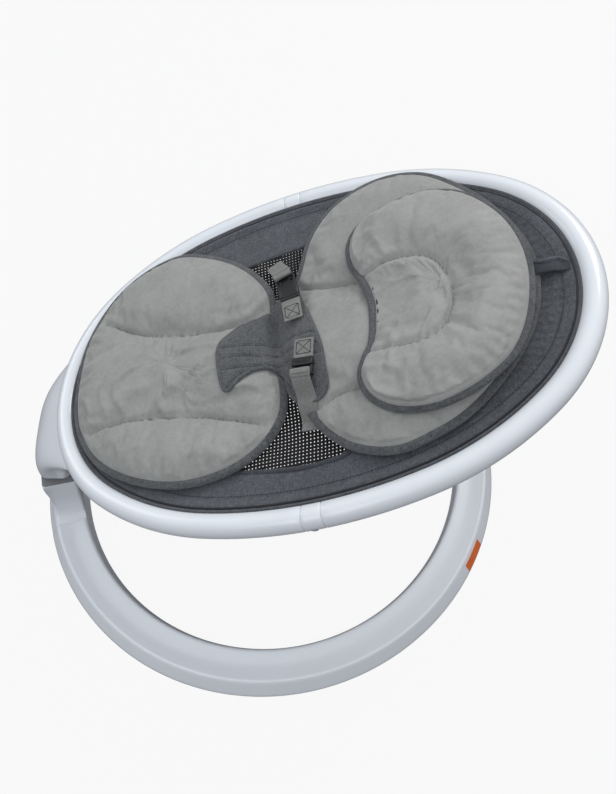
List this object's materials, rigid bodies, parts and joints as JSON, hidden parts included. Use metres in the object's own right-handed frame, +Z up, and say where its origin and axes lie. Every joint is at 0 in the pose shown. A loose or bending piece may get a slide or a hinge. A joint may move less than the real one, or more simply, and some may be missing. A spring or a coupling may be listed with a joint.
{
  "type": "baby swing",
  "caption": "Powered infant swing: reclined oval seat ring with a padded sling, cantilevered from a swivel neck over a round floor ring.",
  "frame": {"origin": "centre of the whole swing's footprint box, on the floor", "axes": "+Z up, +Y towards the head end of the seat, +X towards the baby's left; the swing is symmetric about X = 0"},
  "size_m": [0.746, 0.7856, 0.5021],
  "materials": {
    "white_plastic": "gloss white with a cool cast",
    "silver_plastic": "satin light grey",
    "grey_plastic": "satin mid grey",
    "black_plastic": "satin black",
    "panel_black": "gloss black",
    "button_white": "satin",
    "acetal": "natural acetal",
    "steel": "bright",
    "zinc_steel": "zinc plated",
    "rubber_dark": "matt",
    "board_green": "satin",
    "label_orange": "satin blank",
    "heather": "dark heather grey woven",
    "velour": "short pile velour, warm grey",
    "webbing": "woven tape, grey"
  },
  "bodies": {
    "base": {"base_ring": "white_plastic", "base_ring_cover": "silver_plastic", "ring_coupler_left": "grey_plastic", "ring_coupler_right": "grey_plastic", "rubber_feet": "rubber_dark", "base_screws": "zinc_steel", "warning_label_blank": "label_orange", "neck_front_shell": "white_plastic", "neck_back_shell": "white_plastic", "neck_base_plate": "silver_plastic", "neck_top_cap": "grey_plastic", "control_panel": "panel_black", "power_spring": "steel", "speed_spring": "steel", "volume_spring": "steel", "control_board": "board_green", "speaker": "black_plastic", "power_inlet": "black_plastic", "gear_motor": "zinc_steel", "bearing_block": "grey_plastic", "upper_bearing": "steel", "lower_bearing": "steel"},
    "seat": {"swivel_shaft": "steel", "sector_gear": "acetal", "shaft_collar": "grey_plastic", "hub_core": "grey_plastic", "hub_hood": "white_plastic", "hub_screws": "zinc_steel", "seat_ring_foot": "white_plastic", "seat_ring_head": "white_plastic", "collar_left": "white_plastic", "collar_right": "white_plastic", "spigot_left": "grey_plastic", "spigot_right": "grey_plastic", "sling": "heather", "insert_lower_pad": "velour", "insert_upper_pad": "velour", "head_pillow": "velour", "harness_pad": "heather", "patch_left": "webbing", "patch_right": "webbing", "buckle_socket_left": "black_plastic", "buckle_socket_right": "black_plastic", "head_strap": "heather"},
    "power_button": {"power_button": "button_white"},
    "speed_button": {"speed_button": "button_white"},
    "volume_button": {"volume_button": "button_white"},
    "drive_pinion": {"drive_pinion": "acetal"},
    "release_button_left": {"release_button_left": "grey_plastic"},
    "release_button_right": {"release_button_right": "grey_plastic"},
    "buckle_tongue_left": {"buckle_tongue_left": "black_plastic", "strap_left": "webbing"},
    "buckle_tongue_right": {"buckle_tongue_right": "black_plastic", "strap_right": "webbing"},
    "clip_left_front": {"clip_left_front": "black_plastic"},
    "clip_left_back": {"clip_left_back": "black_plastic"},
    "clip_right_front": {"clip_right_front": "black_plastic"},
    "clip_right_back": {"clip_right_back": "black_plastic"}
  },
  "joints": [
    {"name": "seat_sway", "type": "hinge", "parent": "base", "child": "seat", "pos_m": [0, -0.342, 0.116], "axis": [0, 0.1736, 0.9848], "range_deg": [-15, 15]},
    {"name": "pinion_spin", "type": "hinge", "parent": "base", "child": "drive_pinion", "pos_m": [0.033, -0.342, 0.116], "axis": [0, 0.1736, 0.9848], "range_deg": [-45.5, 45.5]},
    {"name": "power_press", "type": "slide", "parent": "base", "child": "power_button", "axis": [0, 1, 0], "range_m": [0, 0.0012], "stiffness_N_per_m": 400, "springref_m": -0.0006, "deforming": ["power_spring"]},
    {"name": "speed_press", "type": "slide", "parent": "base", "child": "speed_button", "axis": [-0.0698, 0.9976, 0], "range_m": [0, 0.0012], "stiffness_N_per_m": 400, "springref_m": -0.0006, "deforming": ["speed_spring"]},
    {"name": "volume_press", "type": "slide", "parent": "base", "child": "volume_button", "axis": [0.0698, 0.9976, 0], "range_m": [0, 0.0012], "stiffness_N_per_m": 400, "springref_m": -0.0006, "deforming": ["volume_spring"]},
    {"name": "ring_release_left", "type": "slide", "parent": "seat", "child": "release_button_left", "axis": [1, 0, 0], "range_m": [0, 0.0035], "stiffness_N_per_m": 900, "springref_m": -0.001},
    {"name": "buckle_left", "type": "slide", "parent": "seat", "child": "buckle_tongue_left", "axis": [-1, 0, 0], "range_m": [0, 0.01]},
    {"name": "squeeze_left_front", "type": "slide", "parent": "buckle_tongue_left", "child": "clip_left_front", "axis": [0, 0.9397, 0.342], "range_m": [0, 0.002], "stiffness_N_per_m": 600, "springref_m": -0.0005},
    {"name": "squeeze_left_back", "type": "slide", "parent": "buckle_tongue_left", "child": "clip_left_back", "axis": [0, -0.9397, -0.342], "range_m": [0, 0.002], "stiffness_N_per_m": 600, "springref_m": -0.0005},
    {"name": "ring_release_right", "type": "slide", "parent": "seat", "child": "release_button_right", "axis": [-1, 0, 0], "range_m": [0, 0.0035], "stiffness_N_per_m": 900, "springref_m": -0.001},
    {"name": "buckle_right", "type": "slide", "parent": "seat", "child": "buckle_tongue_right", "axis": [1, 0, 0], "range_m": [0, 0.01]},
    {"name": "squeeze_right_front", "type": "slide", "parent": "buckle_tongue_right", "child": "clip_right_front", "axis": [0, 0.9397, 0.342], "range_m": [0, 0.002], "stiffness_N_per_m": 600, "springref_m": -0.0005},
    {"name": "squeeze_right_back", "type": "slide", "parent": "buckle_tongue_right", "child": "clip_right_back", "axis": [0, -0.9397, -0.342], "range_m": [0, 0.002], "stiffness_N_per_m": 600, "springref_m": -0.0005}
  ],
  "couplings": [
    {"joint": "pinion_spin", "follows": "seat_sway", "ratio": -3}
  ]
}
